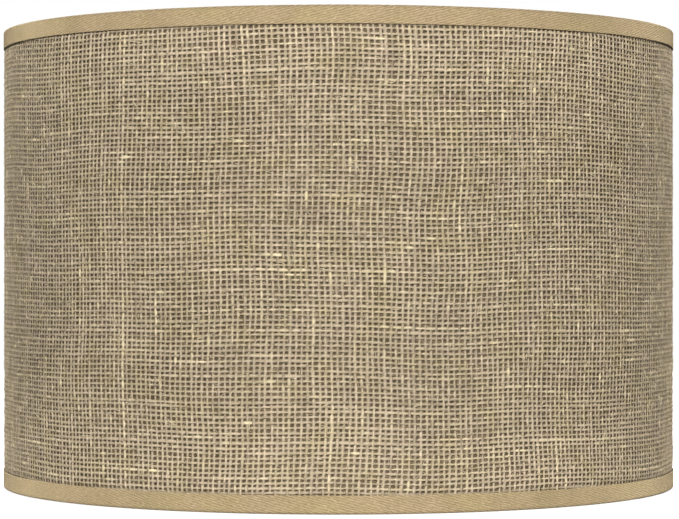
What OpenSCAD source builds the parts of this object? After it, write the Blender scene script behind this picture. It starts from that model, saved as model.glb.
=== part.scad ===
// Hardback drum lamp shade with a spider fitter.
// A burlap cover is bonded to a rolled styrene liner. Folded trim tape wraps the
// two edges and holds a wire ring in each. Three drop-bent arms carry the washer
// that sits on a lamp's harp. Z = 0 is the plane that the bottom edge stands on.

/* [Overall size] */
// Outside diameter, measured over the trim
shade_d = 379.5; // [300:0.5:460]
// Overall height, measured over the trim
shade_h = 255; // [180:1:320]

/* [Wall] */
// Thickness of the styrene liner
liner_t = 0.4; // [0.3:0.1:0.6]
// Thickness of the burlap cover between the trims
burlap_t = 1.1; // [0.9:0.1:1.1]
// Thickness of the burlap cover where the trims press it flat
pressed_t = 0.8; // [0.6:0.1:0.9]
// Width of the glued lap at the back seam
lap_w = 12; // [8:1:20]
// Thickness of the double-sided tape inside the lap
tape_t = 0.15; // [0.1:0.05:0.3]

/* [Trim] */
// Height of the trim band on the outside of the wall
trim_w = 9.5; // [6:0.5:16]
// Thickness of the folded trim tape
trim_t = 0.4; // [0.3:0.1:0.9]
// Length of the trim's turned-in edge, glued to the inside of the liner
trim_tail = 4; // [2:0.5:8]

/* [Rings] */
// Wire diameter of the top and bottom rings
ring_wire_d = 3.2; // [2.6:0.1:4]

/* [Spider fitter] */
// Wire diameter of the three arms
arm_wire_d = 3; // [2.4:0.1:3.4]
// Depth of the washer's top face below the centre of the top ring
fitter_drop = 19; // [14:1:36]
// Slope of the drop in each arm, in degrees
arm_slope = 45; // [35:1:60]
// Outside diameter of the fitter washer
washer_d = 25.4; // [23:0.2:30]
// Thickness of the fitter washer
washer_t = 1.6; // [1.2:0.1:2.4]
// Diameter of the hole that drops over a harp's threaded stud
fitter_hole_d = 11.1; // [10:0.1:12]

/* [Hidden] */
$fn = 240;

// Clearances: glue lines between soft layers, and metal that touches metal
glue_gap = 0.1;
metal_gap = 0.02;

// Radii through the wall, from the outside in
shade_r = shade_d / 2;
flange_in = shade_r - trim_t;
cover_out = flange_in - glue_gap;
cover_in = cover_out - pressed_t;
cover_face = cover_in + burlap_t;
liner_out = cover_in - glue_gap;
liner_in = liner_out - liner_t;
ring_wire_r = ring_wire_d / 2;
ring_r = liner_in - glue_gap - ring_wire_r;
ring_inside = ring_r - ring_wire_r;

// The trim's fold around a ring wire, and its rounded outer corner
fold_in = ring_wire_r + glue_gap;
fold_out = fold_in + trim_t;
corner_r = trim_t + 0.5;
tail_out = liner_in - glue_gap;

// Height at which the cover has swelled out clear of the bottom trim
swell_z = trim_w + 1;

// Heights: the wall's raw edges and the rings stand just inside the trim's folds
edge_gap = trim_t + 0.3;
wall_h = shade_h - 2 * edge_gap;
ring_z = shade_h - fold_out;

// The back seam, at 90 degrees: the sheet's outer end jogs out and laps over its inner end
seam_angle = 90;
function arc_deg(width) = width / liner_out * 180 / PI;
lap_in = liner_out + tape_t + glue_gap;
lap_out = lap_in + liner_t;
bulge = lap_out - liner_out;
lap_end = seam_angle + arc_deg(lap_w);
slit_start = seam_angle - arc_deg(1);
jog_start = slit_start - arc_deg(1);
cover_pocket = [jog_start - arc_deg(0.3), lap_end + arc_deg(0.3)];
cover_bump = [cover_pocket[0] - arc_deg(pressed_t), cover_pocket[1] + arc_deg(pressed_t)];
trim_pocket = [cover_bump[0] - arc_deg(0.3), cover_bump[1] + arc_deg(0.5)];
trim_bump = [trim_pocket[0] - arc_deg(trim_t), trim_pocket[1] + arc_deg(trim_t)];

// Spider fitter: each arm lies on the washer, climbs to the ring's height and butts on the ring
arm_angles = [30, 150, 270];
arm_r = arm_wire_d / 2;
bend_r = 8;
washer_r = washer_d / 2;
washer_top = ring_z - fitter_drop;
arm_lap = 4;
arm_low_z = washer_top + metal_gap + arm_r;
slope_len = (ring_z - arm_low_z - 2 * bend_r * (1 - cos(arm_slope))) / sin(arm_slope);
arm_tip_x = washer_r - arm_lap;
low_bend_x = washer_r + 3;
high_bend_x = low_bend_x + 2 * bend_r * sin(arm_slope) + slope_len * cos(arm_slope);

// Each step of the arm's path: radius from the axis, height, and slope of the wire there
arm_sides = 24;
bend_steps = 6;
bend_angles = [for (i = [0:bend_steps]) arm_slope * i / bend_steps];
arm_path = concat(
    [[arm_tip_x, arm_low_z, 0]],
    [for (a = bend_angles) [low_bend_x + bend_r * sin(a), arm_low_z + bend_r * (1 - cos(a)), a]],
    [
        for (i = [bend_steps:-1:0])
            let (a = bend_angles[i])
                [high_bend_x - bend_r * sin(a), ring_z - bend_r * (1 - cos(a)), a]
    ],
    [[ring_inside - metal_gap, ring_z, 0]]
);

// Weld beads where the arms meet the ring and the washer
weld_r = 2.25;
weld_len = 2.2;
slot_r = weld_r + 0.15;

steel = "#b08d4f";
tape_cloth = "#c9b083";

// ---- plane helpers ----

module ring_2d(r_in, r_out) {
    difference() {
        circle(r = r_out);
        circle(r = r_in);
    }
}

// A short piece of ring between two angles less than 90 degrees apart
module arc_2d(r_in, r_out, from, to) {
    reach = 1.2 * r_out;
    intersection() {
        ring_2d(r_in, r_out);
        polygon([[0, 0], reach * [cos(from), sin(from)], reach * [cos(to), sin(to)]]);
    }
}

// ---- wire frame ----

module wire_hoop() {
    rotate_extrude()
        translate([ring_r, 0])
            circle(r = ring_wire_r);
}

module top_ring() {
    color(steel)
        translate([0, 0, ring_z])
            wire_hoop();
}

module bottom_ring() {
    color(steel)
        translate([0, 0, fold_out])
            wire_hoop();
}

// One arm: its wire swept along the arm's path, which lies in the plane through the shade's axis
module spider_arm(angle) {
    sweep_points = [
        for (step = arm_path)
            for (side = [0:arm_sides - 1])
                let (turn = 360 * side / arm_sides, across = arm_r * cos(turn))
                    [step[0] - across * sin(step[2]), arm_r * sin(turn), step[1] + across * cos(step[2])]
    ];
    sweep_faces = concat(
        [[for (side = [0:arm_sides - 1]) side]],
        [
            for (ring = [0:len(arm_path) - 2])
                for (side = [0:arm_sides - 1])
                    let (here = ring * arm_sides, next = (side + 1) % arm_sides)
                        [here + side, here + arm_sides + side, here + arm_sides + next, here + next]
        ],
        [[for (side = [arm_sides - 1:-1:0]) (len(arm_path) - 1) * arm_sides + side]]
    );
    color(steel)
        rotate([0, 0, angle])
            polyhedron(points = sweep_points, faces = sweep_faces);
}

module spider_arm_1() {
    spider_arm(arm_angles[0]);
}

module spider_arm_2() {
    spider_arm(arm_angles[1]);
}

module spider_arm_3() {
    spider_arm(arm_angles[2]);
}

module fitter_washer() {
    color(steel)
        translate([0, 0, washer_top - washer_t])
            difference() {
                cylinder(h = washer_t, r = washer_r);
                translate([0, 0, -1])
                    cylinder(h = washer_t + 2, r = fitter_hole_d / 2);
            }
}

// The straight wire at either end of an arm, a little oversize, to cut a bead around
module arm_wire_cut(from, to) {
    translate([from, 0, 0])
        rotate([0, 90, 0])
            cylinder(h = to - from, r = arm_r + metal_gap, $fn = 48);
}

// Tapered beads that join each arm's outer end to the inside of the top ring
module arm_ring_welds() {
    color(steel)
        for (angle = arm_angles)
            rotate([0, 0, angle])
                translate([0, 0, ring_z])
                    difference() {
                        translate([ring_inside - weld_len - 2 * metal_gap, 0, 0])
                            rotate([0, 90, 0])
                                cylinder(h = weld_len, r1 = arm_r + 0.3, r2 = weld_r);
                        arm_wire_cut(ring_inside - 4, ring_inside);
                    }
}

// Beads that join each arm's inner end to the top of the washer
module arm_washer_welds() {
    color(steel)
        for (angle = arm_angles)
            rotate([0, 0, angle])
                difference() {
                    translate([arm_tip_x, 0, arm_low_z - 0.5])
                        sphere(r = weld_r);
                    translate([0, 0, arm_low_z])
                        arm_wire_cut(arm_tip_x, arm_tip_x + 4);
                    translate([0, 0, washer_top + metal_gap - 5])
                        cylinder(h = 5, r = washer_r + 5);
                }
}

// ---- wall ----

// A rolled sheet of styrene: its outer end jogs out by its own thickness and the
// tape's, and laps over its inner end
module liner() {
    color("#efe9dc")
        translate([0, 0, edge_gap])
            linear_extrude(wall_h)
                difference() {
                    union() {
                        ring_2d(liner_in, liner_out);
                        arc_2d(liner_in, lap_out, jog_start, slit_start);
                        arc_2d(lap_in, lap_out, jog_start, lap_end);
                    }
                    arc_2d(liner_in - 1, lap_in, slit_start, seam_angle);
                }
}

module seam_tape() {
    color("#d9d2c0")
        translate([0, 0, edge_gap])
            linear_extrude(wall_h)
                arc_2d(liner_out + glue_gap / 2, lap_in - glue_gap / 2, seam_angle + arc_deg(0.5), lap_end);
}

// The burlap from above, out to a given radius: it goes once around and rides over
// the lap, where its two ends meet
module cloth_outline(face_r) {
    difference() {
        union() {
            ring_2d(cover_in, face_r);
            arc_2d(cover_in, face_r + bulge, cover_bump[0], cover_bump[1]);
        }
        arc_2d(cover_in - 1, lap_out + glue_gap, cover_pocket[0], cover_pocket[1]);
    }
}

// Its two edges are pressed thin under the trims, and it stands almost level with them between
module burlap_cover() {
    color("#ab9a7e") {
        translate([0, 0, edge_gap])
            linear_extrude(wall_h)
                cloth_outline(cover_out);
        translate([0, 0, swell_z])
            linear_extrude(shade_h - 2 * swell_z)
                cloth_outline(cover_face);
    }
}

// ---- trim ----

// The folded tape in section, around the bottom edge: radius along X, height along Y
module trim_section() {
    // outer band and its rounded corner
    translate([flange_in, corner_r])
        square([trim_t, trim_w - corner_r]);
    intersection() {
        translate([shade_r - corner_r, corner_r])
            ring_2d(corner_r - trim_t, corner_r);
        translate([shade_r - corner_r, 0])
            square(corner_r);
    }
    // under the wall's raw edge
    translate([ring_r, 0])
        square([shade_r - corner_r - ring_r, trim_t]);
    // around the ring wire
    intersection() {
        translate([ring_r, fold_out])
            ring_2d(fold_in, fold_out);
        translate([ring_r - fold_out, 0])
            square([fold_out, 2 * fold_out]);
    }
    // above the wire and along the liner
    translate([ring_r, fold_out + fold_in])
        square([tail_out - ring_r, trim_t]);
    translate([tail_out - trim_t, fold_out + fold_in])
        square([trim_t, trim_tail]);
}

// A whole trim around the bottom edge, standing proud where it crosses the back seam
module trim_loop() {
    difference() {
        union() {
            rotate_extrude()
                trim_section();
            linear_extrude(trim_w)
                arc_2d(flange_in, shade_r + bulge, trim_bump[0], trim_bump[1]);
        }
        translate([0, 0, trim_t])
            linear_extrude(trim_w)
                arc_2d(flange_in - 1, cover_out + bulge + glue_gap, trim_pocket[0], trim_pocket[1]);
    }
}

module bottom_trim() {
    color(tape_cloth)
        trim_loop();
}

// The slit that is snipped in the top trim so that it can fold past an arm
module arm_slit() {
    reach = tail_out + 0.05 - (ring_inside - 4);
    translate([ring_inside - 4, 0, ring_z]) {
        rotate([0, 90, 0])
            cylinder(h = reach, r = slot_r);
        translate([0, -slot_r, -2 * fold_out - trim_tail])
            cube([reach, 2 * slot_r, 2 * fold_out + trim_tail]);
    }
}

module top_trim() {
    color(tape_cloth)
        difference() {
            translate([0, 0, shade_h])
                mirror([0, 0, 1])
                    trim_loop();
            for (angle = arm_angles)
                rotate([0, 0, angle])
                    arm_slit();
        }
}

top_ring();
bottom_ring();
spider_arm_1();
spider_arm_2();
spider_arm_3();
fitter_washer();
arm_ring_welds();
arm_washer_welds();
liner();
seam_tape();
burlap_cover();
top_trim();
bottom_trim();
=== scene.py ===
import math

import bmesh
import bpy
import numpy as np
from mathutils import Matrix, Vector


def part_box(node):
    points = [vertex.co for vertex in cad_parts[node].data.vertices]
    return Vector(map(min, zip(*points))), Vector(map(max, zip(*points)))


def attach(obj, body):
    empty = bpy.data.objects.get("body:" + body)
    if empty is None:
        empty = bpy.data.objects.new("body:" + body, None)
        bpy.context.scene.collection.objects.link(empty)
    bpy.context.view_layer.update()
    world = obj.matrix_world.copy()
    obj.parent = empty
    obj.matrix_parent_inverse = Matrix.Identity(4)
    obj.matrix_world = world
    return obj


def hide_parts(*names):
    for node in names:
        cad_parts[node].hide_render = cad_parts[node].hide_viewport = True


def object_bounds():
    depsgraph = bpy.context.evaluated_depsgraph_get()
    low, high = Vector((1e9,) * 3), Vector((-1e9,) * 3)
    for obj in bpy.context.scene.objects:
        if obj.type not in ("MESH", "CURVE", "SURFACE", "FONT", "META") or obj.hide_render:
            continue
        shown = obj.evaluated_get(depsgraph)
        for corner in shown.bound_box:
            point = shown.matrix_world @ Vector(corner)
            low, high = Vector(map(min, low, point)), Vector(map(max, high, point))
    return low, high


# A hardback drum lamp shade: open-weave burlap bonded to a rolled styrene liner, with
# folded twill tape over both edges and a wire frame inside. Lengths are in metres,
# angles in degrees from +X, and the back seam is on the +Y side.

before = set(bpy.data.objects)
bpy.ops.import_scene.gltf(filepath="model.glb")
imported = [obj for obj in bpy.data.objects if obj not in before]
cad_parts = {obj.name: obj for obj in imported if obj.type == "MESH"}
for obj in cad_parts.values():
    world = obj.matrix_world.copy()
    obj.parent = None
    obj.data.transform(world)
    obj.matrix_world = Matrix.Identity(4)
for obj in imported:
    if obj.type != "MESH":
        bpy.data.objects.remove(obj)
CAD_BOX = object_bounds()

MM = 0.001

# ---- sizes read from the frame ----

HEIGHT = CAD_BOX[1].z
SHADE_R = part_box("top_trim")[1].x
TRIM_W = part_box("bottom_trim")[1].z
COVER_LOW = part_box("burlap_cover")[0].z
COVER_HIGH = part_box("burlap_cover")[1].z
COVER_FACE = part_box("burlap_cover")[1].x
LINER_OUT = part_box("liner")[1].x
TOP_RING_LOW, TOP_RING_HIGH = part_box("top_ring")
BOTTOM_RING_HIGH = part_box("bottom_ring")[1]
WIRE_R = (TOP_RING_HIGH.z - TOP_RING_LOW.z) / 2
RING_R = TOP_RING_HIGH.x - WIRE_R
TOP_RING_Z = TOP_RING_HIGH.z - WIRE_R
BOTTOM_RING_Z = BOTTOM_RING_HIGH.z - WIRE_R
WASHER_LOW, WASHER_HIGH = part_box("fitter_washer")
WASHER_R = WASHER_HIGH.x

# ---- sizes that the frame's boxes don't give, as in the CAD model ----

COVER_T = 1.1 * MM
PRESSED_T = 0.8 * MM
TRIM_T = 0.4 * MM
TRIM_CORNER = 0.9 * MM
TRIM_TAIL = 4 * MM
GLUE = 0.1 * MM
METAL_GAP = 0.02 * MM
LINER_T = 0.4 * MM
TAPE_T = 0.15 * MM
HOLE_R = 5.55 * MM
ARM_R = 1.5 * MM
ARM_SLOPE = 45
ARM_BEND_R = 8 * MM
ARM_LAP = 4 * MM
ARM_ANGLES = (30, 150, 270)
WELD_R = 2.25 * MM
# How far the wall stands out over the liner's lap
BULGE = LINER_T + TAPE_T + GLUE
SEAM = 90
LAP_W = 12 * MM
# How far before the lap the outer end of the sheet steps out
JOG_W = 2 * MM


def degrees_of(length):
    """The angle that a length takes up around the liner."""
    return math.degrees(length / LINER_OUT)


LAP_END = SEAM + degrees_of(LAP_W)


# ---- number helpers ----


def smooth_noise(rng, shape, reach):
    """Random numbers blurred over reach cells each way, with a spread of 1."""
    waves = np.fft.rfft2(rng.standard_normal(shape))
    down = np.fft.fftfreq(shape[0])[:, None] * reach[0]
    along = np.fft.rfftfreq(shape[1])[None, :] * reach[1]
    blurred = np.fft.irfft2(waves * np.exp(-2 * (math.pi**2) * (down**2 + along**2)), shape)
    return blurred / blurred.std()


def ease(x, start, end):
    """0 before start, 1 after end, and a smooth step between them."""
    t = np.clip((np.asarray(x, float) - start) / (end - start), 0, 1)
    return t * t * (3 - 2 * t)


def full_turn(steps):
    """Evenly spaced angles once round, in radians."""
    return np.linspace(0, 2 * math.pi, steps, endpoint=False)


def on_drum(radius, angle, z):
    """Points from cylinder coordinates, the angle in radians."""
    parts = np.broadcast_arrays(radius * np.cos(angle), radius * np.sin(angle), z)
    return np.stack(parts, axis=-1)


# ---- mesh helpers ----


def grid_faces(rows, columns, wrap_rows=False, wrap_columns=False, start=0):
    """Quads over a grid of points that is numbered row by row."""
    row_steps = rows if wrap_rows else rows - 1
    column_steps = columns if wrap_columns else columns - 1
    r = np.arange(row_steps)[:, None]
    c = np.arange(column_steps)[None, :]
    r_next = (r + 1) % rows
    c_next = (c + 1) % columns
    corners = (r * columns + c, r_next * columns + c, r_next * columns + c_next, r * columns + c_next)
    return start + np.stack(corners, axis=-1).reshape(-1, 4)


def tube_faces(tubes, rings, sides):
    """Faces of several tubes, each closed at its ends."""
    starts = np.arange(tubes)[:, None] * rings * sides
    walls = [grid_faces(rings, sides, wrap_columns=True, start=start) for start in starts[:, 0]]
    first = starts + np.arange(sides)[::-1]
    last = starts + (rings - 1) * sides + np.arange(sides)
    return [np.concatenate(walls), first, last]


def strip_map(strips, steps, sides, folds):
    """Bake map corners for strips of quads, each folded into rows that stack up the map."""
    per_fold = math.ceil(steps / folds)
    strip = np.arange(strips)[:, None, None]
    step = np.arange(steps)[None, :, None]
    side = np.arange(sides)[None, None, :]
    row = strip * folds + step // per_fold
    left = (step % per_fold) / per_fold
    pad = 0.06
    corners = []
    for along, across in ((0, 0), (1, 0), (1, 1), (0, 1)):
        u = left + along / per_fold + 0 * (row + side)
        v = (row + pad + (1 - 2 * pad) * (side + across) / sides) / (strips * folds)
        corners.append(np.stack(np.broadcast_arrays(u, v), axis=-1))
    return np.stack(corners, axis=-2).reshape(-1, 2)


def add_object(name, data):
    """An object in the scene that holds the data."""
    made = bpy.data.objects.new(name, data)
    bpy.context.scene.collection.objects.link(made)
    return made


def add_piece(name, points, faces, material, bake_map=None, values=None):
    """A smooth mesh piece. faces is a list of arrays, one for each number of corners, and
    bake_map covers the corners of the first of them."""
    mesh = bpy.data.meshes.new(name)
    points = np.asarray(points, np.float32).reshape(-1, 3)
    mesh.vertices.add(len(points))
    mesh.vertices.foreach_set("co", points.ravel())
    corners = np.concatenate([np.asarray(f).ravel() for f in faces])
    counts = np.concatenate([np.full(len(f), np.shape(f)[1]) for f in faces])
    mesh.loops.add(len(corners))
    mesh.loops.foreach_set("vertex_index", corners.astype(np.int32))
    mesh.polygons.add(len(counts))
    starts = np.concatenate([[0], np.cumsum(counts)[:-1]])
    mesh.polygons.foreach_set("loop_start", starts.astype(np.int32))
    mesh.polygons.foreach_set("use_smooth", np.ones(len(counts), bool))
    mesh.update(calc_edges=True)
    if bake_map is not None:
        whole = np.full((len(corners), 2), 0.001, np.float32)
        whole[: len(bake_map)] = bake_map
        mesh.uv_layers.new(name="OFBake").data.foreach_set("uv", whole.ravel())
    for key, value in (values or {}).items():
        value = np.asarray(value, np.float32)
        kind = "FLOAT_VECTOR" if value.ndim == 2 else "FLOAT"
        field = "vector" if value.ndim == 2 else "value"
        mesh.attributes.new(key, kind, "POINT").data.foreach_set(field, value.ravel())
    mesh.materials.append(material)
    piece = add_object(name, mesh)
    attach(piece, "root")
    return piece


def add_layer(name, outer, inner, material, slot, folds):
    """A closed piece between two faces, which are given as points by column and by row."""
    columns, rows = outer.shape[:2]
    sides = 2 * rows
    row = np.arange(rows - 1)
    ends = np.stack([row, row + 1, sides - 2 - row, sides - 1 - row], axis=-1)
    caps = np.concatenate([ends, ends[:, ::-1] + (columns - 1) * sides])
    section = np.concatenate([outer, inner[:, ::-1]], axis=1)
    faces = grid_faces(columns, sides, wrap_columns=True)
    bake_map = strip_map(1, columns - 1, sides, folds)
    return add_piece(name, section, [faces, caps], material, bake_map)


# ---- material helpers ----


def shade(red, green, blue):
    """A linear colour from one that is given on the usual 0 to 255 display scale."""
    parts = [x / 255 for x in (red, green, blue)]
    return tuple(x / 12.92 if x < 0.04045 else ((x + 0.055) / 1.055) ** 2.4 for x in parts) + (1,)


class Shader:
    """A material with one Principled shader, and short ways to add nodes to it."""

    def __init__(self, name):
        self.material = bpy.data.materials.new(name)
        self.material.use_nodes = True
        self.tree = self.material.node_tree
        self.surface = self.tree.nodes["Principled BSDF"]

    def add(self, kind, inputs=None, **settings):
        """A node of the kind, with values or links on its inputs."""
        made = self.tree.nodes.new("ShaderNode" + kind)
        for key, value in settings.items():
            setattr(made, key, value)
        for key, value in (inputs or {}).items():
            self.give(made.inputs[key], value)
        return made

    def give(self, socket, value):
        if isinstance(value, bpy.types.NodeSocket):
            self.tree.links.new(value, socket)
        else:
            socket.default_value = value

    def set(self, **values):
        """Values or links for the Principled shader's own sockets."""
        for key, value in values.items():
            self.give(self.surface.inputs[key.replace("_", " ")], value)

    def place(self):
        """Object coordinates, in metres."""
        return self.add("TexCoord").outputs["Object"]

    def value(self, name, output="Fac"):
        """A value that the mesh carries on its points."""
        return self.add("Attribute", attribute_name=name).outputs[output]

    def math(self, operation, *values, clamp=False):
        made = self.add("Math", operation=operation, use_clamp=clamp)
        for socket, value in zip(made.inputs, values):
            self.give(socket, value)
        return made.outputs[0]

    def times(self, first, second):
        return self.math("MULTIPLY", first, second)

    def stretch(self, vector, scale):
        inputs = {0: vector, 1: scale}
        return self.add("VectorMath", inputs, operation="MULTIPLY").outputs[0]

    def noise(self, vector, scale, detail=2.0, roughness=0.5):
        inputs = {"Vector": vector, "Scale": scale, "Detail": detail, "Roughness": roughness}
        return self.add("TexNoise", inputs).outputs["Fac"]

    def remap(self, value, low, high, new_low=0.0, new_high=1.0):
        inputs = {0: value, 1: low, 2: high, 3: new_low, 4: new_high}
        return self.add("MapRange", inputs).outputs[0]

    def mix(self, factor, first, second, blend="MIX"):
        made = self.add("Mix", data_type="RGBA", blend_type=blend)
        self.give(made.inputs[0], factor)
        self.give(made.inputs[6], first)
        self.give(made.inputs[7], second)
        return made.outputs[2]

    def scale_colour(self, colour, factor):
        """The colour times a number."""
        inputs = {0: colour, "Scale": factor}
        return self.add("VectorMath", inputs, operation="SCALE").outputs[0]

    def bump(self, height, distance, strength=1.0, after=None):
        inputs = {"Height": height, "Distance": distance, "Strength": strength}
        if after is not None:
            inputs["Normal"] = after
        return self.add("Bump", inputs).outputs[0]


# ---- materials ----

# The twill tape's ribs and threads, and where it turns over the edge, in millimetres
RIB_PITCH = 1.3
RIB_LENGTH = 4.6
RIB_SLOPE = math.tan(math.radians(15))
PICK_PITCH = 0.6
TURN_OVER = 9.2


def yarn_material(name, base, dark, pale, fibre_length):
    """Jute yarn. The yarn values are millimetres along and round the thread, and its number."""
    look = Shader(name)
    yarn = look.value("yarn", "Vector")
    place = look.place()
    fibres = look.noise(look.stretch(yarn, (1 / fibre_length, 2.6, 1.0)), 1.0, 3.0, 0.62)
    clumps = look.noise(look.stretch(yarn, (0.12, 0.5, 1.0)), 1.0, 2.0)
    patches = look.noise(place, 70.0, 3.0, 0.65)
    green = look.remap(patches, 0.47, 0.68)
    pink = look.remap(patches, 0.46, 0.3)
    colour = look.mix(look.times(green, 0.4), base, shade(184, 168, 118))
    colour = look.mix(look.times(pink, 0.4), colour, shade(190, 166, 146))
    colour = look.mix(look.remap(fibres, 0.5, 0.28, 0.0, 0.75), colour, dark)
    pale_part = look.math("ADD", look.remap(fibres, 0.56, 0.78), look.value("pale"), clamp=True)
    colour = look.mix(look.times(pale_part, 0.8), colour, pale)
    tone = look.times(look.value("tone"), look.remap(clumps, 0.3, 0.7, 0.86, 1.14))
    look.set(
        Base_Color=look.scale_colour(colour, tone),
        Roughness=look.remap(fibres, 0.3, 0.7, 0.95, 0.72),
        Normal=look.bump(fibres, 0.22 * MM),
        Specular_IOR_Level=0.1,
    )
    return look.material


def base_material():
    """The glued underside of the cloth, which shows through the weave's gaps: its dark brown is partly
    the glue-soaked fibres and partly painted shade in the gaps.
    """
    look = Shader("burlap_base")
    place = look.place()
    gaps = look.noise(place, 330.0, 2.0, 0.6)
    fuzz = look.noise(place, 1500.0, 3.0, 0.7)
    patches = look.noise(place, 22.0, 2.0)
    fill = look.remap(gaps, 0.42, 0.66, 0.0, 0.7)
    fill = look.math("ADD", fill, look.remap(patches, 0.4, 0.7, -0.1, 0.3))
    # Dark brown: partly the glue-soaked fibres, partly painted shade in the weave's gaps
    colour = look.mix(look.math("MAXIMUM", fill, 0.0), shade(86, 70, 46), shade(144, 124, 92))
    colour = look.mix(look.remap(fuzz, 0.55, 0.75, 0.0, 0.5), colour, shade(190, 172, 132))
    look.set(
        Base_Color=colour,
        Roughness=look.remap(fuzz, 0.3, 0.7, 0.7, 0.95),
        Normal=look.bump(fuzz, 0.25 * MM),
    )
    return look.material


def loose_fibre_material():
    """Pale jute fibres, each of its own tone."""
    look = Shader("burlap_loose_fibres")
    grain = look.noise(look.place(), 900.0, 2.0)
    colour = look.mix(look.value("tone"), shade(184, 163, 124), shade(246, 233, 198))
    look.set(
        Base_Color=look.scale_colour(colour, look.remap(grain, 0.3, 0.7, 0.88, 1.1)),
        Roughness=look.remap(grain, 0.3, 0.7, 0.55, 0.8),
        Normal=look.bump(grain, 0.05 * MM),
    )
    return look.material


def twill(look, along, across):
    """The twill's relief: how high its floats stand, from 0 to 1, where they step along the
    slanting ribs, and the ripple of the threads across them, from -1 to 1."""
    skew = look.math("SUBTRACT", across, look.times(along, RIB_SLOPE))
    skew = look.math("DIVIDE", skew, RIB_PITCH)
    row = look.math("FLOOR", skew)
    in_row = look.math("FRACT", skew)
    place = look.math("ADD", look.math("DIVIDE", along, RIB_LENGTH), look.times(row, 0.37))
    in_float = look.math("FRACT", place)
    ridge = look.math("SINE", look.times(in_row, math.pi))
    end = look.math("SINE", look.times(in_float, math.pi))
    end = look.math("ADD", look.times(look.math("POWER", end, 0.7), 0.4), 0.6)
    picks = look.times(along, 2 * math.pi / PICK_PITCH)
    picks = look.math("SINE", look.math("ADD", picks, look.times(row, 2.4)))
    return look.times(ridge, end), picks


def trim_material():
    """Cotton twill tape. The weave values are millimetres along and across the tape."""
    look = Shader("trim_twill")
    weave = look.value("weave", "Vector")
    wander = look.noise(look.stretch(weave, (0.22, 0.4, 1.0)), 1.0, 1.0)
    axes = look.add("SeparateXYZ", {0: weave}).outputs
    across = look.math("ADD", axes[1], wander)
    rib, picks = twill(look, axes[0], across)
    slant = look.math("SUBTRACT", across, look.times(axes[0], RIB_SLOPE))
    lie = look.add("CombineXYZ", {0: axes[0], 1: slant}).outputs[0]
    yarns = look.noise(look.stretch(lie, (0.6, 3.6, 1.0)), 1.0, 2.0, 0.6)
    threads = look.noise(look.stretch(weave, (5.5, 0.8, 1.0)), 1.0, 2.0, 0.6)
    slubs = look.noise(look.stretch(lie, (0.35, 0.9, 1.0)), 1.0, 1.0)
    blotches = look.noise(look.place(), 60.0, 3.0, 0.55)
    hue = look.noise(look.place(), 34.0, 2.0)
    past_edge = look.math("ABSOLUTE", look.math("SUBTRACT", axes[1], TURN_OVER))
    # Painted shade along the rounded fold where the tape turns over the edge
    painted_fold_shade = look.remap(past_edge, 0.3, 1.3, 0.78, 1.0)
    tone = look.remap(blotches, 0.35, 0.65, 1.0, 1.13)
    tone = look.times(tone, look.remap(slubs, 0.3, 0.7, 0.92, 1.1))
    colour = look.mix(look.remap(hue, 0.4, 0.62), shade(196, 173, 137), shade(190, 172, 128))
    # Painted shade in the grooves between the twill's ribs
    colour = look.mix(look.remap(rib, 0.7, 0.0, 0.0, 0.85), colour, shade(132, 108, 70))
    colour = look.mix(look.remap(yarns, 0.48, 0.3, 0.0, 0.6), colour, shade(156, 131, 92))
    colour = look.mix(look.remap(yarns, 0.5, 0.68, 0.0, 0.7), colour, shade(222, 202, 164))
    colour = look.mix(look.remap(threads, 0.5, 0.35, 0.0, 0.3), colour, shade(150, 126, 88))
    # Painted shade in the troughs of the threads' ripple across the ribs
    colour = look.mix(look.remap(picks, 0.2, -1.0, 0.0, 0.55), colour, shade(150, 126, 86))
    relief = look.bump(picks, 0.05 * MM, 1.0, look.bump(rib, 0.13 * MM))
    look.set(
        Base_Color=look.scale_colour(colour, look.times(painted_fold_shade, tone)),
        Roughness=look.remap(yarns, 0.3, 0.7, 0.9, 0.75),
        Normal=look.bump(yarns, 0.08 * MM, 1.0, relief),
        Sheen_Weight=0.8,
        Sheen_Roughness=0.4,
        Sheen_Tint=shade(222, 200, 158),
        Specular_IOR_Level=0.3,
    )
    return look.material


def styrene_material():
    """Warm white calendered sheet, with faint roll marks and dust."""
    look = Shader("styrene")
    place = look.place()
    marks = look.noise(look.stretch(place, (1.0, 1.0, 0.15)), 240.0, 2.0)
    cloud = look.noise(place, 18.0, 3.0)
    dust = look.noise(place, 2200.0, 1.0)
    colour = look.mix(look.remap(cloud, 0.35, 0.65), shade(238, 232, 216), shade(229, 220, 199))
    colour = look.mix(look.remap(dust, 0.68, 0.8, 0.0, 0.3), colour, shade(196, 184, 160))
    look.set(
        Base_Color=colour,
        Roughness=look.remap(marks, 0.3, 0.7, 0.38, 0.52),
        Normal=look.bump(marks, 0.03 * MM, 0.6),
    )
    return look.material


def bonding_tape_material():
    """Yellowed double-sided tape with small bubbles."""
    look = Shader("bonding_tape")
    place = look.place()
    bubbles = look.noise(place, 700.0, 2.0)
    colour = look.mix(look.remap(bubbles, 0.4, 0.65), shade(214, 205, 182), shade(198, 186, 158))
    look.set(
        Base_Color=colour,
        Roughness=look.remap(bubbles, 0.3, 0.7, 0.3, 0.5),
        Normal=look.bump(bubbles, 0.03 * MM),
    )
    return look.material


def plated_material(name, bright, dull, rough_low, rough_high, bump_height):
    """Brass-plated steel: drawing marks, tarnish in soft clouds, and small dark specks."""
    look = Shader(name)
    place = look.place()
    clouds = look.noise(place, 90.0, 4.0, 0.6)
    specks = look.noise(place, 1400.0, 2.0)
    marks = look.noise(place, 3200.0, 1.0)
    colour = look.mix(look.remap(clouds, 0.4, 0.68), bright, dull)
    colour = look.mix(look.remap(specks, 0.64, 0.74, 0.0, 0.7), colour, shade(92, 70, 42))
    look.set(
        Base_Color=colour,
        Metallic=1.0,
        Roughness=look.remap(clouds, 0.35, 0.7, rough_low, rough_high),
        Normal=look.bump(marks, bump_height, 0.5),
    )
    return look.material


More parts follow.
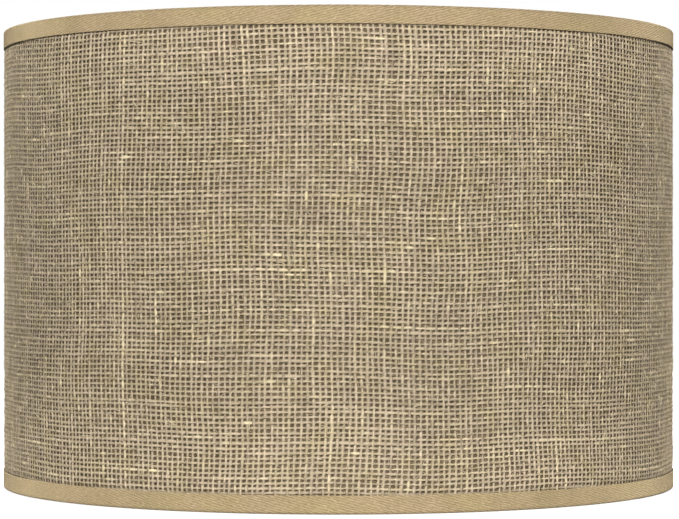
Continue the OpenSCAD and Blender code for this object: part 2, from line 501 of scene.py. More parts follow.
def floor_material():
    """White paper, lit a little from below as on a light table."""
    look = Shader("floor")
    look.set(Base_Color=(0.9, 0.9, 0.9, 1), Roughness=0.9)
    look.set(Emission_Color=(1, 1, 1, 1), Emission_Strength=0.55)
    return look.material


# ---- the burlap: one base sheet, warp and weft yarns, and loose fibres ----

WARPS = 396
WEFTS = 100
SAMPLES = 3
SIDES = 5
# Side angles of a yarn's section from straight outwards. The first and last are underneath.
SIDE_TURNS = np.radians((-144, -72, 0, 72, 144))
BASE_R = COVER_FACE - COVER_T
BASE_T = 0.12 * MM
WEAVE_R = COVER_FACE - 0.42 * MM
# The cloth starts under the turned edge of its other end.
CLOTH_START = LAP_END + degrees_of(0.35 * MM)
PAST_LAP = degrees_of(1.2 * MM)
CLOTH_END = 360 + LAP_END + PAST_LAP
CLOTH_LENGTH = math.radians(CLOTH_END - CLOTH_START) * WEAVE_R
WARP_PITCH = CLOTH_LENGTH / WARPS
WEFT_PITCH = (COVER_HIGH - COVER_LOW) / WEFTS
YARN_HALF_T = 0.23 * MM
# How far a yarn's centre moves out where it passes over another
YARN_LIFT = 0.045 * MM
# Painted shade and light on a yarn: tones of its underside, of its outer face, and of its flanks at
# crossings
UNDER_PAINTED_SHADE = 0.65
FACE_PAINTED_LIGHT = 1.03
CROSSING_PAINTED_SHADE = 0.97
# How each kind of thread is made: the pieces that the threads are split into, the rows of the bake map
# that each is folded into, and the painted shade of its flanks between crossings, as a tone. Streaks of
# tone are streak samples long. The width changes by uneven over reach samples, by fine from sample to
# sample, and by swell at slubs, within limits.
WARP = dict(
    name="burlap_warp", seed=21, pieces=6, folds=1, flank_shade=0.6, streak=24,
    half_width=1.0 * MM, uneven=0.10, reach=6, fine=0.12, swell=0.2, limits=(0.6, 1.5),
)
WEFT = dict(
    name="burlap_weft", seed=22, pieces=7, folds=5, flank_shade=0.76, streak=16,
    half_width=0.83 * MM, uneven=0.12, reach=7, fine=0.13, swell=0.25, limits=(0.55, 1.6),
)


def cloth_rise(angle):
    """How far the cloth stands out over the liner's lap, at an angle in radians."""
    over = np.degrees(angle) - 360
    jog = SEAM - degrees_of(JOG_W)
    return BULGE * ease(over, jog - degrees_of(1.5 * MM), jog + degrees_of(0.5 * MM))


def cloth_roll(angle):
    """How far the cloth's turned edge curls back in towards the liner."""
    over = np.degrees(angle) - 360
    curl = degrees_of(1.1 * MM)
    return 0.9 * MM * np.clip((over - LAP_END - PAST_LAP + curl) / curl, 0, 1) ** 2


def cloth_press(z):
    """How far the trims press the cloth in, at and just clear of their edges."""
    edge = HEIGHT / 2 - TRIM_W
    return (COVER_T - PRESSED_T) * ease(abs(z - HEIGHT / 2), edge - 2.4 * MM, edge - 0.7 * MM)


def on_cloth(around, height, radius):
    """Points at lengths around the cloth and up it, and at a radius where it lies level."""
    angle = math.radians(CLOTH_START) + around / WEAVE_R
    radius = radius - cloth_press(height)
    return on_drum(radius + (cloth_rise(angle) - cloth_roll(angle)), angle, height)


def crossings():
    """Where the threads cross: each warp's place around the drum and each weft's height. One
    more thread on every side lets threads run on to the cloth's edges."""
    rng = np.random.default_rng(11)
    shape = (WARPS + 2, WEFTS + 2)
    warp = np.arange(-1, WARPS + 1)[:, None]
    weft = np.arange(-1, WEFTS + 1)[None, :]
    shared = smooth_noise(rng, shape, (9.0, 6.0))
    own = smooth_noise(rng, shape, (0, 8))
    jitter = rng.standard_normal(shape)
    around = WARP_PITCH * (warp + 0.5 + 0.23 * shared + 0.05 * own + 0.03 * jitter)
    shared = smooth_noise(rng, shape, (8.0, 13.0))
    own = smooth_noise(rng, shape, (9, 0))
    jitter = rng.standard_normal(shape)
    bow = smooth_noise(rng, shape, (24, 24))
    height = WEFT_PITCH * (weft + 0.5 + 0.27 * shared + 0.33 * bow + 0.05 * own + 0.03 * jitter)
    height = COVER_LOW + np.clip(height, 0, COVER_HIGH - COVER_LOW)
    return around, height


def between(table, place):
    """Rows of a table at fractional columns, the first column standing at -1."""
    low = np.floor(place + 1).astype(int)
    low = np.minimum(low, table.shape[1] - 2)
    part = place + 1 - low
    return table[:, low] * (1 - part) + table[:, low + 1] * part


def yarn_tubes(centre_around, centre_height, lift, half_width, half_thick, across):
    """Five-sided tubes around thread centres, as points indexed by thread, sample and side.
    across says whether the yarn's width lies around the drum or up it."""
    sideways = half_width[..., None] * np.sin(SIDE_TURNS)
    outwards = half_thick[..., None] * np.cos(SIDE_TURNS)
    around = centre_around[..., None] + (sideways if across == "around" else 0)
    height = centre_height[..., None] + (sideways if across == "height" else 0)
    return on_cloth(around, height, WEAVE_R + lift[..., None] + outwards)


def add_yarns(name, kind, numbers, points, along, tone, pale, material):
    """One piece of several yarns, each closed at its ends. The tone carries painted shade: dark
    undersides, flanks darkened between crossings, and slightly lightened outer faces."""
    threads, samples = points.shape[:2]
    at_crossing = 0.5 + 0.5 * np.cos(2 * math.pi * (np.arange(samples) / SAMPLES - 0.5))
    painted_flank_shade = kind["flank_shade"] + (CROSSING_PAINTED_SHADE - kind["flank_shade"]) * at_crossing
    under = np.full_like(painted_flank_shade, UNDER_PAINTED_SHADE)
    face = np.full_like(painted_flank_shade, FACE_PAINTED_LIGHT)
    # Painted shade: dark undersides and flanks, and a slightly lighter outer face
    painted_side_shade = np.stack([under, painted_flank_shade, face, painted_flank_shade, under], axis=-1)
    shape = (threads, samples, SIDES)
    parts = (along[..., None] / MM, np.arange(SIDES) * 0.8, numbers[:, None, None] * 7.3)
    yarn = np.stack(np.broadcast_arrays(*parts), axis=-1)
    values = {
        "yarn": yarn.reshape(-1, 3),
        "tone": (tone[..., None] * painted_side_shade).ravel(),
        "pale": np.broadcast_to(pale[..., None], shape).ravel(),
    }
    faces = tube_faces(threads, samples, SIDES)
    bake_map = strip_map(threads, samples - 1, SIDES, kind["folds"])
    return add_piece(name, points, faces, material, bake_map, values)


def yarn_looks(rng, threads, samples, streak):
    """Brightness and paleness along each thread: its own tone, long streaks, and slubs."""
    shape = (threads, samples)
    own = rng.standard_normal((threads, 1))
    streaks = smooth_noise(rng, shape, (0, streak))
    short = smooth_noise(rng, shape, (0, 2.2))
    tone = 1 + 0.03 * own + 0.055 * streaks + 0.06 * short
    slubs = ease(smooth_noise(rng, shape, (0, 3.5)), 1.8, 2.8)
    pale = np.clip(slubs + 0.45 * ease(streaks, 1.3, 2.8), 0, 1)
    return tone, pale, slubs


def edge_tone_and_trim_shade(z):
    """The cloth is a little paler towards both edges, and darkened right beside the trims by painted
    shadow of the tape's edge.
    """
    from_middle = abs(z - HEIGHT / 2)
    edge = HEIGHT / 2 - TRIM_W
    # Painted shadow in the groove beside each trim
    painted_trim_shadow = ease(from_middle, edge - 2.2 * MM, edge - 0.2 * MM)
    return 1 + 0.15 * ease(from_middle, 0.18 * HEIGHT, 0.47 * HEIGHT) - 0.3 * painted_trim_shadow


def yarn_widths(rng, place, slubs, kind):
    """Half widths along the threads, which also spread where they cross others."""
    shape = slubs.shape
    wide = 1 + 0.10 * rng.standard_normal((shape[0], 1))
    wide = wide + kind["uneven"] * smooth_noise(rng, shape, (0, kind["reach"]))
    wide += kind["fine"] * smooth_noise(rng, shape, (0, 1.0)) + kind["swell"] * slubs
    wide += 0.24 * np.cos(2 * math.pi * place)
    return kind["half_width"] * np.clip(wide, *kind["limits"])


def add_threads(kind, place, around, height, along, lift, across, material):
    """All threads of a kind, given where each is around the drum and up it at its samples."""
    rng = np.random.default_rng(kind["seed"])
    tone, pale, slubs = yarn_looks(rng, *around.shape, kind["streak"])
    tone = tone * edge_tone_and_trim_shade(height)
    half_width = yarn_widths(rng, place, slubs, kind)
    half_thick = 1 + 0.14 * smooth_noise(rng, around.shape, (0, 1.5))
    half_thick = YARN_HALF_T * np.clip(half_thick, 0.6, 1.3)
    points = yarn_tubes(around, height, lift, half_width, half_thick, across)
    pieces = []
    for k, group in enumerate(np.array_split(np.arange(len(points)), kind["pieces"])):
        name = f"{kind['name']}_{k + 1}"
        parts = (points[group], along[group], tone[group], pale[group])
        pieces.append(add_yarns(name, kind, group, *parts, material))
    return pieces


def add_warps(around, height, material):
    """The upright threads."""
    place = np.linspace(-0.5, WEFTS - 0.5, SAMPLES * WEFTS + 1)
    around = between(around, place)[1:-1]
    height = between(height, place)[1:-1]
    lift = YARN_LIFT * np.cos(math.pi * (place + np.arange(WARPS)[:, None]))
    return add_threads(WARP, place, around, height, height, lift, "around", material)


def add_wefts(around, height, material):
    """The level threads, which run once around the drum."""
    place = np.linspace(-0.5, WARPS - 0.5, SAMPLES * WARPS + 1)
    around = np.clip(between(around.T, place)[1:-1], 0, CLOTH_LENGTH)
    height = between(height.T, place)[1:-1]
    lift = -YARN_LIFT * np.cos(math.pi * (place + np.arange(WEFTS)[:, None]))
    return add_threads(WEFT, place, around, height, around, lift, "height", material)


def add_base():
    """The thin sheet of glue and flattened fibres that the yarns stand on."""
    columns, rows = 480, 40
    rng = np.random.default_rng(31)
    angle = np.radians(np.linspace(CLOTH_START, CLOTH_END, columns))[:, None]
    z = np.linspace(COVER_LOW, COVER_HIGH, rows)[None, :]
    ripple = 0.02 * MM * smooth_noise(rng, (columns, rows), (2, 2))
    inner = BASE_R + cloth_rise(angle) - 0.5 * cloth_roll(angle) + 0 * z
    outer = inner + BASE_T + np.clip(ripple, -0.05 * MM, 0.05 * MM)
    faces = (on_drum(outer, angle, z), on_drum(inner, angle, z))
    base = add_layer("burlap_base", *faces, base_material(), "burlap", 4)
    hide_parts("burlap_cover")
    return base


STRAND_RINGS = 6
STRAND_SIDES = np.radians((210, 90, -30))


def strand_points(rng, count, longest):
    """Thin three-sided strands that lie on the weave, mostly along the threads, and bend."""
    step = np.linspace(-1, 1, STRAND_RINGS)[None, :]
    level = rng.random(count) < 0.6
    heading = np.where(level, 0, math.pi / 2) + 0.35 * rng.standard_normal(count)
    length = MM * np.clip(rng.lognormal(math.log(longest / 4), 0.5, count), 1.2, longest)
    bend = 0.8 * rng.standard_normal(count)
    thick = MM * np.clip(rng.lognormal(-2.0, 0.4, count), 0.06, 0.3)
    around = rng.uniform(4 * MM, CLOTH_LENGTH - 4 * MM, count)
    height = rng.uniform(TRIM_W + 4 * MM, HEIGHT - TRIM_W - 4 * MM, count)
    turn = heading[:, None] + bend[:, None] * step
    stride = length[:, None] / (STRAND_RINGS - 1)
    run = np.cumsum(np.cos(turn) * stride, axis=1)
    climb = np.cumsum(np.sin(turn) * stride, axis=1)
    arch = np.sqrt(np.clip(1 - step**2, 0, 1))
    lift = 0.2 * MM + (0.3 * MM) * arch * rng.uniform(0.5, 1.0, (count, 1))
    taper = thick[:, None] * (0.35 + 0.65 * arch)
    sideways = taper[..., None] * np.cos(STRAND_SIDES)
    outwards = 0.6 * taper[..., None] * np.sin(STRAND_SIDES)
    u = around[:, None, None] + run[..., None] - np.sin(turn)[..., None] * sideways
    v = height[:, None, None] + climb[..., None] + np.cos(turn)[..., None] * sideways
    u = np.clip(u, 0, CLOTH_LENGTH)
    v = np.clip(v, TRIM_W + 0.5 * MM, HEIGHT - TRIM_W - 0.5 * MM)
    return on_cloth(u, v, WEAVE_R + lift[..., None] + outwards)


def add_loose_fibres(name, count, longest, seed, material):
    """Stray fibres, at most as many millimetres long as longest says."""
    rng = np.random.default_rng(seed)
    points = strand_points(rng, count, longest)
    sides = len(STRAND_SIDES)
    faces = tube_faces(count, STRAND_RINGS, sides)
    tone = np.repeat(rng.random(count), STRAND_RINGS * sides)
    return add_piece(name, points, faces, material, values={"tone": tone})


def add_burlap():
    """The cloth: its base, which carries the yarns and the loose fibres."""
    around, height = crossings()
    base = add_base()
    warp_yarn = yarn_material(
        "burlap_warp_yarn", shade(197, 180, 154), shade(142, 119, 84), shade(230, 214, 174), 3.5
    )
    weft_yarn = yarn_material(
        "burlap_weft_yarn", shade(194, 177, 150), shade(144, 121, 85), shade(234, 219, 178), 4.5
    )
    yarns = add_warps(around, height, warp_yarn) + add_wefts(around, height, weft_yarn)
    fibre = loose_fibre_material()
    fibres = [
        add_loose_fibres("burlap_long_fibres", 5200, 14, 41, fibre),
        add_loose_fibres("burlap_short_fibres", 6000, 7, 42, fibre),
    ]


# ---- the trims: folded twill tape ----

TRIM_COLUMNS = 1000
SLIT_HALF = 2.4 * MM
TAPE_LAP = 15 * MM


def arc_points(centre, radius, start, end, count):
    """Points on an arc between two angles in degrees."""
    turn = np.radians(np.linspace(start, end, count))
    return np.stack([centre[0] + radius * np.cos(turn), centre[1] + radius * np.sin(turn)], axis=-1)


def fold_line():
    """The middle of the tape's thickness where it folds over the bottom edge: radius and
    height, from the outside band's edge to the turned-in edge on the liner. The second
    result is the row where the slits for the arms begin."""
    half = TRIM_T / 2
    face = SHADE_R - half
    corner = TRIM_CORNER - half
    wrap = WIRE_R + GLUE + half
    bead_z = BOTTOM_RING_Z
    shelf = bead_z + wrap
    tail = LINER_OUT - LINER_T - GLUE - half
    turn_r = 0.5 * MM
    outside = [
        np.linspace((face, TRIM_W), (face, TRIM_CORNER), 25),
        arc_points((SHADE_R - TRIM_CORNER, TRIM_CORNER), corner, 0, -90, 5)[1:],
        np.linspace((SHADE_R - TRIM_CORNER, half), (RING_R, half), 4)[1:],
    ]
    inside = [
        arc_points((RING_R, bead_z), wrap, -90, -270, 16)[1:],
        np.linspace((RING_R, shelf), (tail - turn_r, shelf), 2)[1:],
        arc_points((tail - turn_r, shelf + turn_r), turn_r, -90, 0, 3)[1:],
        np.linspace((tail, shelf + turn_r), (tail, shelf + half + TRIM_TAIL - 0.35 * MM), 5)[1:],
    ]
    slit_row = sum(len(part) for part in outside) + 1
    return np.concatenate(outside + inside), slit_row


def outward_normals(line):
    """Unit normals of an open line, on its right-hand side."""
    run = np.gradient(line, axis=0)
    normal = np.stack([-run[:, 1], run[:, 0]], axis=-1)
    return normal / np.linalg.norm(normal, axis=1)[:, None]


def trim_rise(angle):
    """How far the outer band stands out where it crosses the back seam."""
    start = math.radians(SEAM - degrees_of(JOG_W + COVER_T))
    end = math.radians(LAP_END + degrees_of(COVER_T))
    slope = math.radians(degrees_of(1.6 * MM))
    return BULGE * ease(angle, start - slope, start) * ease(angle, end + slope, end)


def tape_layers(turns, depths, top, wave, loose):
    """Points of a folded tape, by column and by row: down its outer face, which lies at the
    first depth from the fold line, and back up its inner face, at the second."""
    line = fold_line()[0]
    normal = outward_normals(line)
    across = tape_across(line)
    edge = ease(across, 3 * MM, 0)
    band = ease(line[:, 0], SHADE_R - 2.6 * MM, SHADE_R - 1.2 * MM)
    layers = []
    for depth in depths:
        depth = depth + loose * (0.3 + 0.7 * edge)
        radius = line[:, 0] + normal[:, 0] * depth + trim_rise(turns) * band
        z = line[:, 1] + normal[:, 1] * depth + wave[:, None] * edge
        layers.append(on_drum(radius, turns, HEIGHT - z if top else z))
    return np.concatenate([layers[0], layers[1][:, ::-1]], axis=1)


def tape_across(line):
    """How far each point of the fold line is from the tape's outside edge, along the tape."""
    return np.concatenate([[0], np.cumsum(np.linalg.norm(np.diff(line, axis=0), axis=1))])


def tape_weave(turns):
    """Millimetres along and across the tape at each of its points."""
    across = tape_across(fold_line()[0])
    across = np.concatenate([across, across[::-1]])
    along = np.concatenate([turns, turns[:, ::-1]], axis=1) * SHADE_R
    weave = np.broadcast_arrays(along / MM, across[None, :] / MM, 0.0)
    return np.stack(weave, axis=-1).reshape(-1, 3)


def tidy_mesh(piece):
    """Drops points that no face uses, and points every face outwards."""
    shape = bmesh.new()
    shape.from_mesh(piece.data)
    bmesh.ops.delete(shape, geom=[v for v in shape.verts if not v.link_faces], context="VERTS")
    bmesh.ops.recalc_face_normals(shape, faces=shape.faces)
    shape.to_mesh(piece.data)
    shape.free()


def slit_walls(first, last, rows, slit_row):
    """The cut edges of a slit between two columns: both sides, then its inner end."""
    row = np.arange(slit_row, rows - 1)
    walls = []
    for column in (first, last):
        outer = column * 2 * rows + row
        inner = column * 2 * rows + 2 * rows - 1 - row
        walls.append(np.stack([outer, outer + 1, inner - 1, inner], axis=-1))
    column = np.arange(first, last) * 2 * rows
    outer = column + slit_row
    inner = column + 2 * rows - 1 - slit_row
    walls.append(np.stack([outer, outer + 2 * rows, inner + 2 * rows, inner], axis=-1))
    return np.concatenate(walls)


def cut_slits(turns, keep, rows, slit_row):
    """Cuts a slit for each arm: moves two columns to its sides, and takes the faces between
    them out of keep. Returns the faces of the cut edges."""
    walls = []
    for arm in ARM_ANGLES:
        middle = math.radians(arm)
        half = SLIT_HALF / (RING_R - WIRE_R)
        first = int(np.argmin(abs(turns - middle + half)))
        last = int(np.argmin(abs(turns - middle - half)))
        turns[first] = middle - half
        turns[last] = middle + half
        keep[first:last, slit_row : 2 * rows - 1 - slit_row] = False
        walls.append(slit_walls(first, last, rows, slit_row))
    return walls


def add_trim(name, node, top, material, seed):
    """The tape all round one edge. The top one is slit where the arms come through."""
    rng = np.random.default_rng(seed)
    line, slit_row = fold_line()
    columns, rows = TRIM_COLUMNS, len(line)
    turns = full_turn(columns)
    keep = np.ones((columns, 2 * rows), bool)
    walls = cut_slits(turns, keep, rows, slit_row) if top else []
    turns = np.broadcast_to(turns[:, None], (columns, rows))
    wave = 0.10 * MM * smooth_noise(rng, (1, columns), (0, 12))[0]
    loose = 0.03 * MM * smooth_noise(rng, (columns, rows), (8, 3))
    points = tape_layers(turns, (TRIM_T / 2, -TRIM_T / 2), top, wave, loose)
    faces = grid_faces(columns, 2 * rows, wrap_rows=True, wrap_columns=True)
    keep = keep.ravel()
    faces = [np.concatenate([faces[keep], *walls])]
    bake_map = strip_map(1, columns, 2 * rows, 6)[np.repeat(keep, 4)]
    values = {"weave": tape_weave(turns)}
    piece = add_piece(name, points, faces, material, bake_map, values)
    tidy_mesh(piece)
    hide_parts(node)
    return piece


def add_tape_end(name, top, material, seed):
    """The far end of a tape, which laps over its start at the back seam."""
    rng = np.random.default_rng(seed)
    line = fold_line()[0]
    columns, rows = 24, len(line)
    across = tape_across(line)
    first = math.radians(SEAM - degrees_of(8 * MM))
    last = math.radians(SEAM + degrees_of(TAPE_LAP - 8 * MM))
    slant = 0.03 * across / SHADE_R
    part = np.linspace(0, 1, columns)[:, None]
    turns = first + slant + (last - first - 2 * slant) * part
    ends = np.exp(-8 * part) + np.exp(-8 * (1 - part))
    wave = 0.05 * MM * smooth_noise(rng, (1, columns), (0, 5))[0]
    loose = 0.05 * MM * (1 + smooth_noise(rng, (columns, rows), (3, 3))) * (1 - ends)
    points = tape_layers(turns, (1.6 * TRIM_T - 0.1 * TRIM_T * ends, 0.55 * TRIM_T), top, wave, loose)
    faces = grid_faces(columns, 2 * rows, wrap_columns=True)
    row = np.arange(rows - 1)
    caps = np.stack([row, row + 1, 2 * rows - 2 - row, 2 * rows - 1 - row], axis=-1)
    caps = np.concatenate([caps, caps + (columns - 1) * 2 * rows])
    bake_map = strip_map(1, columns - 1, 2 * rows, 2)
    values = {"weave": tape_weave(turns) * (1, -1, 1) + (3.1, 0.6, 0)}
    piece = add_piece(name, points, [faces, caps], material, bake_map, values)
    tidy_mesh(piece)
    return piece


def add_trims():
    """Both tapes, each with its lapped end."""
    material = trim_material()
    for k, place in enumerate(("top", "bottom")):
        is_top = place == "top"
        tape = add_trim(f"{place}_trim_tape", f"{place}_trim", is_top, material, 51 + k)
        end = add_tape_end(f"{place}_trim_tape_end", is_top, material, 61 + k)


# ---- the wire frame ----


def add_copies(name, points, faces, angles, material):
    """One piece of a shape repeated at several angles around the shade's axis."""
    turned = []
    for angle in np.radians(angles):
        x = points[:, 0] * math.cos(angle) - points[:, 1] * math.sin(angle)
        y = points[:, 0] * math.sin(angle) + points[:, 1] * math.cos(angle)
        turned.append(np.stack([x, y, points[:, 2]], axis=-1))
    copies = []
    for part in faces:
        copies.append(np.concatenate([part + k * len(points) for k in range(len(angles))]))
    return add_piece(name, np.concatenate(turned), copies, material)


def add_ring(name, node, z, joint, material, seed):
    """A ring of round wire. Its butt joint is dressed nearly flush."""
    rng = np.random.default_rng(seed)
    columns, sides = 400, 16
    turn = full_turn(columns)[:, None]
    side = full_turn(sides)[None, :]
    from_joint = (turn - math.radians(joint)) * RING_R
    dressed = 0.08 * MM * np.exp(-((from_joint / (2 * MM)) ** 2))
    wire = WIRE_R - 0.015 * MM + 0.01 * MM * smooth_noise(rng, (columns, sides), (3, 1)) - dressed
    points = on_drum(RING_R + wire * np.cos(side), turn, z + wire * np.sin(side))
    faces = grid_faces(columns, sides, wrap_rows=True, wrap_columns=True)
    bake_map = strip_map(1, columns, sides, 8)
    piece = add_piece(name, points, [faces], material, bake_map)
    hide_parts(node)


def arm_path():
    """Steps along an arm: distance from the axis, height, and the wire's slope."""
    low_z = WASHER_HIGH.z + METAL_GAP + ARM_R
    low_bend = WASHER_R + 3 * MM
    slope = math.radians(ARM_SLOPE)
    climb = TOP_RING_Z - low_z - 2 * ARM_BEND_R * (1 - math.cos(slope))
    high_bend = low_bend + 2 * ARM_BEND_R * math.sin(slope) + climb / math.tan(slope)
    bend = np.linspace(0, slope, 10)
    tip = np.array([0, 0.12, 0.4, 1.0]) * MM + WASHER_R - ARM_LAP
    end = RING_R - WIRE_R - METAL_GAP
    run = np.concatenate([np.linspace(high_bend, end, 60)[1:-1], [end - 0.1 * MM, end]])
    x = [tip, low_bend + ARM_BEND_R * np.sin(bend), high_bend - ARM_BEND_R * np.sin(bend[::-1]), run]
    z = [
        low_z + 0 * tip,
        low_z + ARM_BEND_R * (1 - np.cos(bend)),
        TOP_RING_Z - ARM_BEND_R * (1 - np.cos(bend[::-1])),
        TOP_RING_Z + 0 * run,
    ]
    turn = [0 * tip, bend, bend[::-1], 0 * run]
    return np.concatenate(x), np.concatenate(z), np.concatenate(turn)


def add_arm(number, angle, material):
    """One drop-bent wire arm, sheared at both ends, with slight waves left by straightening."""
    rng = np.random.default_rng(70 + number)
    x, z, slope = arm_path()
    steps, sides = len(x), 20
    side = full_turn(sides)[None, :]
    from_tip = x - x[0]
    wire = ARM_R * (1 - 0.22 * ease(from_tip, 0.4 * MM, 0))[:, None]
    wire = wire + 0.008 * MM * smooth_noise(rng, (steps, sides), (2, 1))
    part = np.linspace(0, 1, steps)
    wave = 0.12 * MM * smooth_noise(rng, (1, steps), (0, 6))[0] * np.sin(math.pi * part) ** 2
    across = wire * np.cos(side)
    points = np.stack(
        [
            x[:, None] - across * np.sin(slope)[:, None],
            wave[:, None] + wire * np.sin(side),
            z[:, None] + across * np.cos(slope)[:, None],
        ],
        axis=-1,
    ).reshape(-1, 3)
    turn = math.radians(angle)
    cos, sin = math.cos(turn), math.sin(turn)
    spin = np.array([[cos, sin, 0], [-sin, cos, 0], [0, 0, 1]])
    faces = grid_faces(steps, sides, wrap_columns=True)
    first = np.arange(sides)[None, :]
    last = first[:, ::-1] + (steps - 1) * sides
    bake_map = strip_map(1, steps - 1, sides, 1)
    name = f"spider_arm_{number}_wire"
    piece = add_piece(name, points @ spin, [faces, first, last], material, bake_map)
    tidy_mesh(piece)
    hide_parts(f"spider_arm_{number}")


def add_washer(material):
    """A stamped washer: its upper edges are rolled over and its lower ones sharp."""
    rng = np.random.default_rng(81)
    low, high = WASHER_LOW.z, WASHER_HIGH.z
    top = np.linspace(HOLE_R + 0.3 * MM, WASHER_R - 0.5 * MM, 8)
    under = np.linspace(WASHER_R - 0.08 * MM, HOLE_R + 0.1 * MM, 8)
    profile = [(HOLE_R, low + 0.1 * MM), (HOLE_R, high - 0.2 * MM)]
    profile += [(HOLE_R + 0.08 * MM, high - 0.07 * MM)]
    profile += [(r, high) for r in top]
    profile += [(WASHER_R - 0.16 * MM, high - 0.14 * MM), (WASHER_R, high - 0.45 * MM)]
    profile += [(WASHER_R, low + 0.08 * MM)]
    profile += [(r, low) for r in under]
    profile = np.array(profile)
    columns, rows = 144, len(profile)
    turn = full_turn(columns)[:, None]
    dent = 0.012 * MM * smooth_noise(rng, (columns, rows), (5, 1))
    points = on_drum(profile[:, 0] + 0 * turn, turn, profile[:, 1] + dent)
    faces = grid_faces(columns, rows, wrap_rows=True, wrap_columns=True)
    bake_map = strip_map(1, columns, rows, 2)
    piece = add_piece("fitter_washer_disc", points, [faces], material, bake_map)
    tidy_mesh(piece)
    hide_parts("fitter_washer")


def add_ring_welds(material):
    """Rippled beads that run from each arm out to the ring."""
    rng = np.random.default_rng(82)
    steps, sides = 14, 28
    end = RING_R - WIRE_R - 2 * METAL_GAP
    part = np.linspace(0, 1, steps)[:, None]
    turn = full_turn(sides)[None, :]
    bead = ARM_R + 0.15 * MM + (WELD_R - ARM_R - 0.3 * MM) * part**1.3
    bead = bead + 0.06 * MM * np.sin(part * 19) + 0.05 * MM * smooth_noise(rng, (steps, sides), (1, 1.5))
    bead[-1] = WELD_R - 0.25 * MM
    x = end - 2.2 * MM * (1 - part) + 0 * turn
    outer = np.stack([x, bead * np.cos(turn), TOP_RING_Z + bead * np.sin(turn)], axis=-1)
    bore = ARM_R + METAL_GAP + 0 * bead
    inner = np.stack([x, bore * np.cos(turn), TOP_RING_Z + bore * np.sin(turn)], axis=-1)
    section = np.concatenate([outer, inner[::-1]])
    faces = grid_faces(2 * steps, sides, wrap_rows=True, wrap_columns=True)
    piece = add_copies("ring_weld_beads", section.reshape(-1, 3), [faces], ARM_ANGLES, material)
    tidy_mesh(piece)
    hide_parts("arm_ring_welds")


def add_washer_welds(material):
    """Domed beads over each arm's tip, spread a little on the washer."""
    rng = np.random.default_rng(83)
    rows, columns = 14, 28
    rise = np.linspace(-0.5 * math.pi, 0.5 * math.pi, rows)[:, None]
    turn = full_turn(columns)[None, :]
    bead = (WELD_R - 0.1 * MM) * (1 + 0.025 * smooth_noise(rng, (rows, columns), (1, 1.5)))
    floor = WASHER_HIGH.z + METAL_GAP
    middle = WASHER_HIGH.z + METAL_GAP + ARM_R - 0.5 * MM
    z = np.maximum(middle + bead * np.sin(rise), floor)
    spread = np.where(z < floor + 0.4 * MM, 1.06, 1.0)
    x = WASHER_R - ARM_LAP + spread * bead * np.cos(rise) * np.cos(turn)
    points = np.stack([x, spread * bead * np.cos(rise) * np.sin(turn), z], axis=-1)
    faces = grid_faces(rows, columns, wrap_columns=True)
    first = np.arange(columns)[None, :]
    last = first[:, ::-1] + (rows - 1) * columns
    start = np.count_nonzero(rise < math.asin((floor - middle) / WELD_R)) - 1
    faces = faces[faces.min(axis=1) >= start * columns]
    first = first + start * columns
    piece = add_copies(
        "washer_weld_beads", points.reshape(-1, 3), [faces, first, last], ARM_ANGLES, material
    )
    tidy_mesh(piece)
    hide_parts("arm_washer_welds")


def add_frame():
    """Both rings and the spider fitter."""
    wire = plated_material(
        "brass_plated_wire", shade(206, 168, 96), shade(150, 118, 70), 0.22, 0.42, 0.02 * MM
    )
    weld = plated_material("weld_metal", shade(176, 142, 84), shade(118, 94, 60), 0.35, 0.6, 0.05 * MM)
    add_ring("top_ring_wire", "top_ring", TOP_RING_Z, 200, wire, 91)
    add_ring("bottom_ring_wire", "bottom_ring", BOTTOM_RING_Z, 340, wire, 92)
    for number, angle in enumerate(ARM_ANGLES, 1):
        add_arm(number, angle, wire)
    add_washer(wire)
    add_ring_welds(weld)
    add_washer_welds(weld)


# ---- liner and seam tape ----


def add_liner():
    """The rolled sheet: its outer end jogs out over the tape and laps over its inner end."""
    columns, rows = 900, 24
    jog = SEAM - degrees_of(JOG_W)
    angle = np.linspace(SEAM, 360 + LAP_END, columns)
    rise = BULGE * ease(angle, 360 + jog - degrees_of(MM), 360 + jog + degrees_of(MM))
    z = np.linspace(COVER_LOW, COVER_HIGH, rows)
    turn = np.radians(angle)[:, None]
    outer = on_drum(LINER_OUT + rise[:, None] + 0 * z, turn, z[None, :])
    inner = on_drum(LINER_OUT - LINER_T + rise[:, None] + 0 * z, turn, z[None, :])
    liner = add_layer("styrene_liner", outer, inner, styrene_material(), "styrene", 4)
    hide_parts("liner")


def add_seam_tape():
    """The strip of bonding tape between the liner's lapped ends, its edges slightly wavy."""
    rng = np.random.default_rng(95)
    columns, rows = 10, 60
    low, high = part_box("seam_tape")
    width = degrees_of(high.x - low.x)
    middle = SEAM + degrees_of(-(low.x + high.x) / 2)
    wave = 0.006 * width * smooth_noise(rng, (1, rows), (0, 4))[0]
    side = np.linspace(-0.5, 0.5, columns)[:, None]
    turn = np.radians(middle + wave[None, :] + side * width)
    z = np.linspace(low.z, high.z, rows)[None, :]
    inner = LINER_OUT + GLUE / 2
    ripple = 0.01 * MM * smooth_noise(rng, (columns, rows), (2, 4))
    outer = inner + TAPE_T + np.clip(ripple, -0.02 * MM, 0.02 * MM)
    faces = (on_drum(outer, turn, z), on_drum(inner, turn, z))
    strip = add_layer("bonding_tape_strip", *faces, bonding_tape_material(), "bonding_tape", 1)
    tidy_mesh(strip)
    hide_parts("seam_tape")


# ---- camera, light and floor ----

# The camera's lens, and its distance in shade radii, which give the photo's curves of the rims
CAMERA_LENS = 140.99
CAMERA_DISTANCE = 8.0045


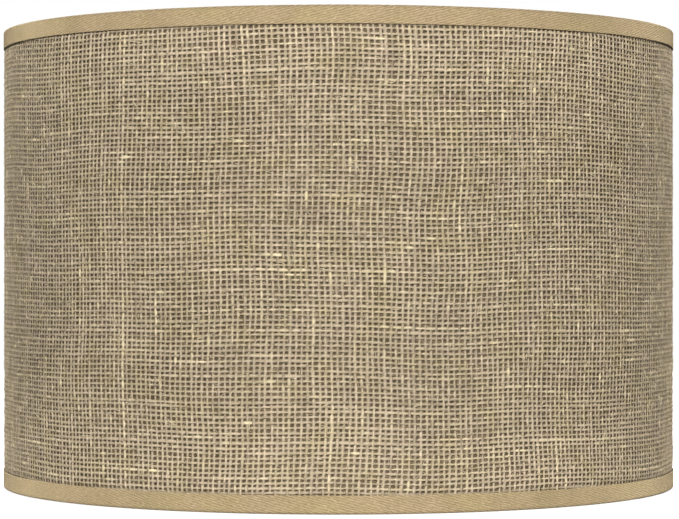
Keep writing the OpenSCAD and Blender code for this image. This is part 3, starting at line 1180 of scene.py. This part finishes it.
def add_camera():
    """A long lens level with the middle of the shade, straight in front of it."""
    camera = bpy.data.cameras.new("camera")
    camera.lens = CAMERA_LENS
    camera.sensor_width = 36
    camera.shift_x = 0.0015
    camera.clip_end = 50
    stand = add_object("camera", camera)
    stand.location = (0, -CAMERA_DISTANCE * SHADE_R, HEIGHT / 2)
    stand.rotation_euler = (math.radians(90), 0, 0)
    bpy.context.scene.camera = stand


def add_sun(name, azimuth, elevation, strength, spread):
    """A soft light from far away. An azimuth of 0 is the photographed front."""
    sun = bpy.data.lights.new(name, "SUN")
    sun.energy = strength
    sun.angle = math.radians(spread)
    holder = add_object(name, sun)
    holder.rotation_euler = (math.radians(90 - elevation), 0, math.radians(azimuth))


def add_world():
    """An even white studio, brighter as a backdrop than as a light."""
    world = bpy.data.worlds.new("studio")
    world.use_nodes = True
    tree = world.node_tree
    seen = tree.nodes.new("ShaderNodeLightPath").outputs["Is Camera Ray"]
    level = tree.nodes.new("ShaderNodeMapRange")
    level.inputs["To Min"].default_value = 0.15
    level.inputs["To Max"].default_value = 1.0
    tree.links.new(seen, level.inputs["Value"])
    background = tree.nodes["Background"]
    background.inputs["Color"].default_value = (1, 1, 1, 1)
    tree.links.new(level.outputs[0], background.inputs["Strength"])
    bpy.context.scene.world = world


def add_floor():
    """A pale round floor under the shade."""
    rings, spokes = 12, 96
    radius = 1.6 * (np.arange(1, rings + 1) / rings)[:, None] ** 1.5
    turn = full_turn(spokes)[None, :]
    points = on_drum(radius, turn, 0 * radius - 0.15 * MM)
    mesh = bpy.data.meshes.new("floor")
    faces = [tuple(f) for f in grid_faces(rings, spokes, wrap_columns=True).tolist()]
    faces.append(tuple(range(spokes)))
    mesh.from_pydata(points.reshape(-1, 3).tolist(), [], faces)
    mesh.materials.append(floor_material())
    floor = add_object("floor", mesh)
    floor.visible_diffuse = False


bpy.context.scene.view_settings.view_transform = "Standard"
add_camera()
add_world()
add_sun("front_light", 0, 22, 3.6, 14)
add_sun("back_light", 180, 38, 2.8, 10)
add_floor()

add_frame()
add_liner()
add_seam_tape()
add_burlap()
add_trims()
